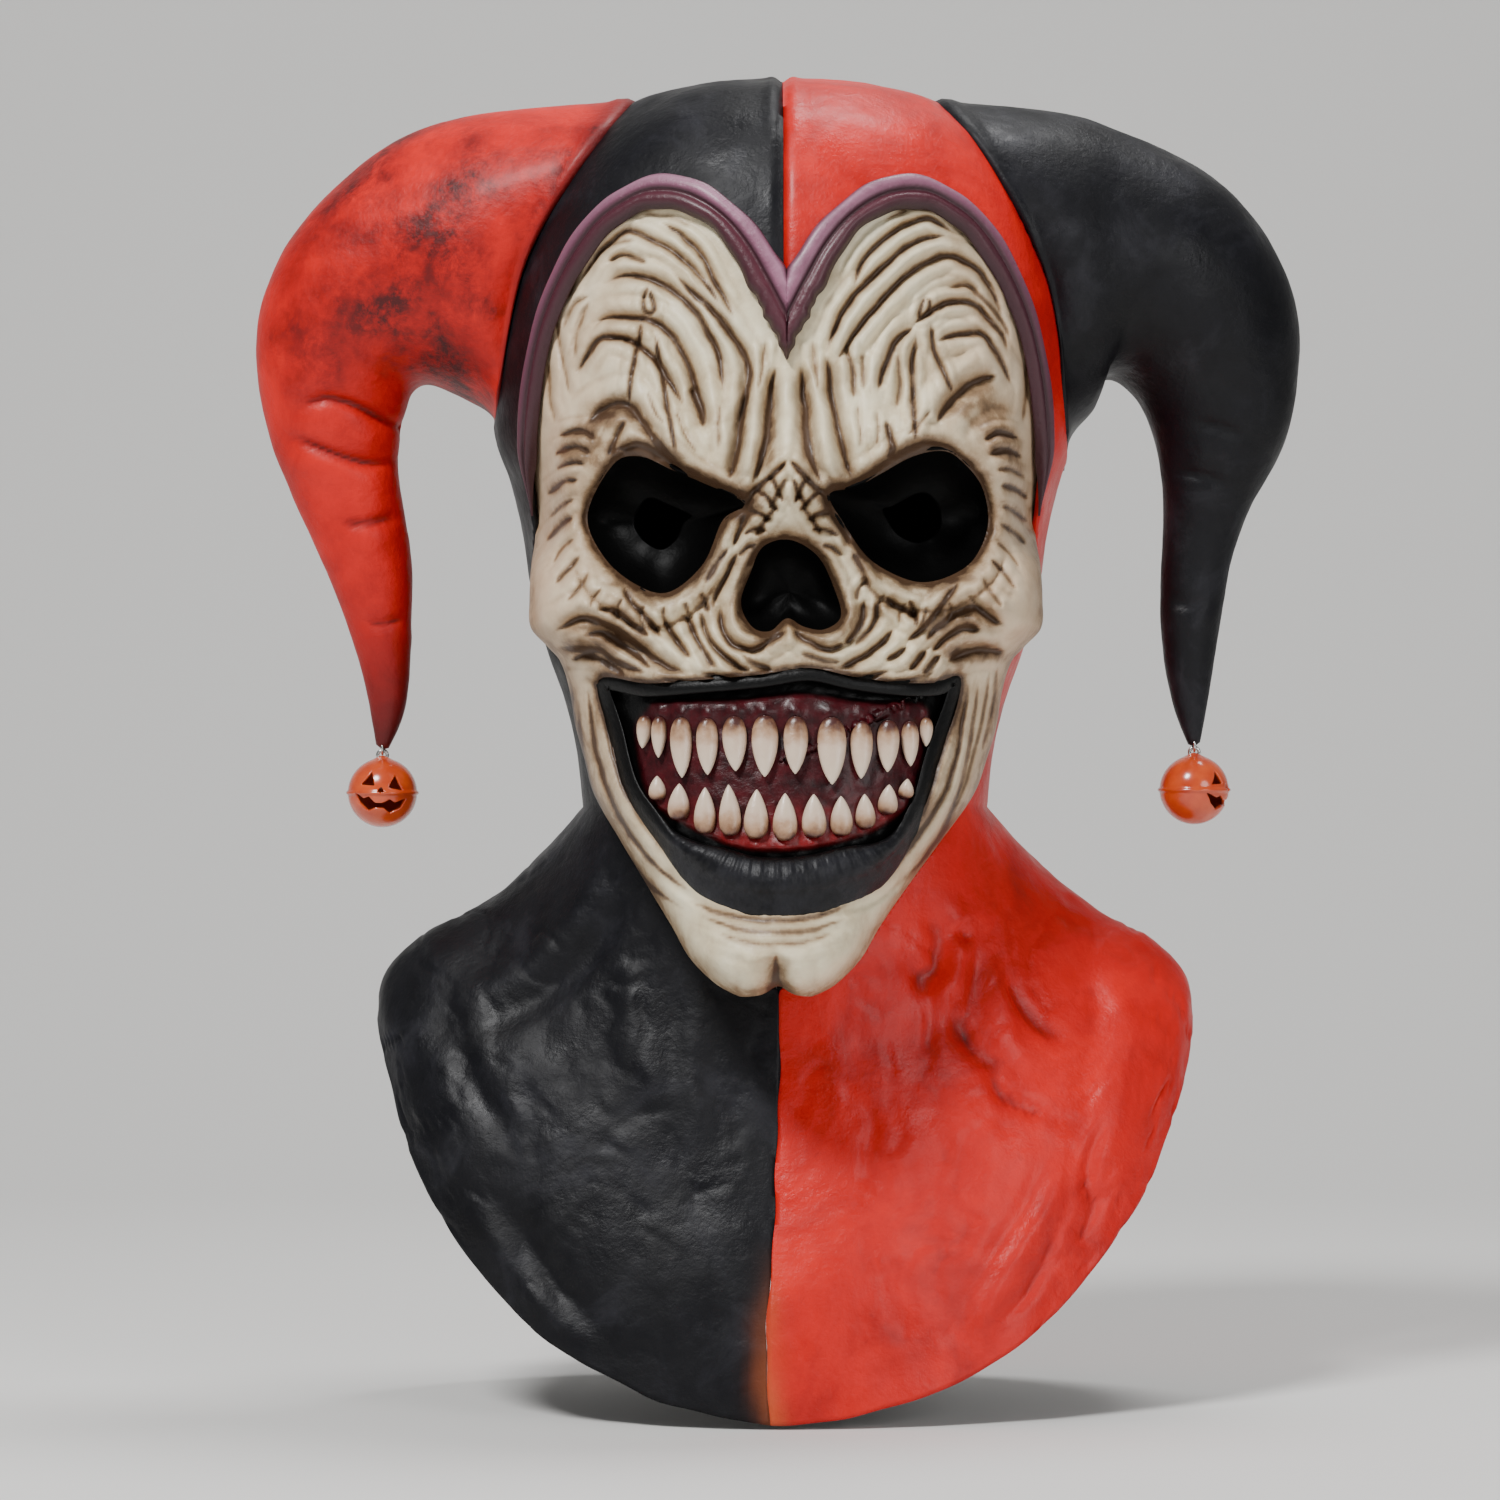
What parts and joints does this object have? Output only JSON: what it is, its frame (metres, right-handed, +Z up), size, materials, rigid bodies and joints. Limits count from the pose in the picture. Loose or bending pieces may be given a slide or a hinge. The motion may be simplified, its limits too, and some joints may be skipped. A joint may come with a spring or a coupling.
{
  "type": "jester mask",
  "caption": "Full-head latex jester mask with a skull face, two drooping horns with bells, and a bib over the shoulders.",
  "frame": {"origin": "inside of the crown, at the point that rests on top of the wearer's head", "axes": "+Z up, -Y the way the face looks, +X towards the black horn, which is on the wearer's left"},
  "size_m": [0.3503, 0.2404, 0.437],
  "materials": {
    "black_latex": "satin",
    "red_latex": "satin",
    "bone_latex": "matte with a brown wash",
    "purple_latex": "satin",
    "gloss_black_latex": "gloss",
    "maroon_latex": "gloss",
    "tooth_latex": "gloss",
    "orange_enamel": "gloss",
    "steel_wire": "polished"
  },
  "bodies": {
    "root": {"hood_black": "black_latex", "hood_red": "red_latex", "bib_black": "black_latex", "bib_red": "red_latex", "horn_red": "red_latex", "horn_black": "black_latex", "skull_face": "bone_latex", "face_trim": "purple_latex", "eye_socket_left": "gloss_black_latex", "eye_socket_right": "gloss_black_latex", "nose_pit": "gloss_black_latex", "lips": "gloss_black_latex", "gums": "maroon_latex", "bell_left": "orange_enamel", "bell_right": "orange_enamel", "bell_ring_left": "steel_wire", "bell_ring_right": "steel_wire", "upper_tooth_1": "tooth_latex", "upper_tooth_2": "tooth_latex", "upper_tooth_3": "tooth_latex", "upper_tooth_4": "tooth_latex", "upper_tooth_5": "tooth_latex", "upper_tooth_6": "tooth_latex", "upper_tooth_7": "tooth_latex", "upper_tooth_8": "tooth_latex", "upper_tooth_9": "tooth_latex", "upper_tooth_10": "tooth_latex", "upper_tooth_11": "tooth_latex", "upper_tooth_12": "tooth_latex", "lower_tooth_1": "tooth_latex", "lower_tooth_2": "tooth_latex", "lower_tooth_3": "tooth_latex", "lower_tooth_4": "tooth_latex", "lower_tooth_5": "tooth_latex", "lower_tooth_6": "tooth_latex", "lower_tooth_7": "tooth_latex", "lower_tooth_8": "tooth_latex", "lower_tooth_9": "tooth_latex", "lower_tooth_10": "tooth_latex", "lower_tooth_11": "tooth_latex"}
  },
  "joints": []
}
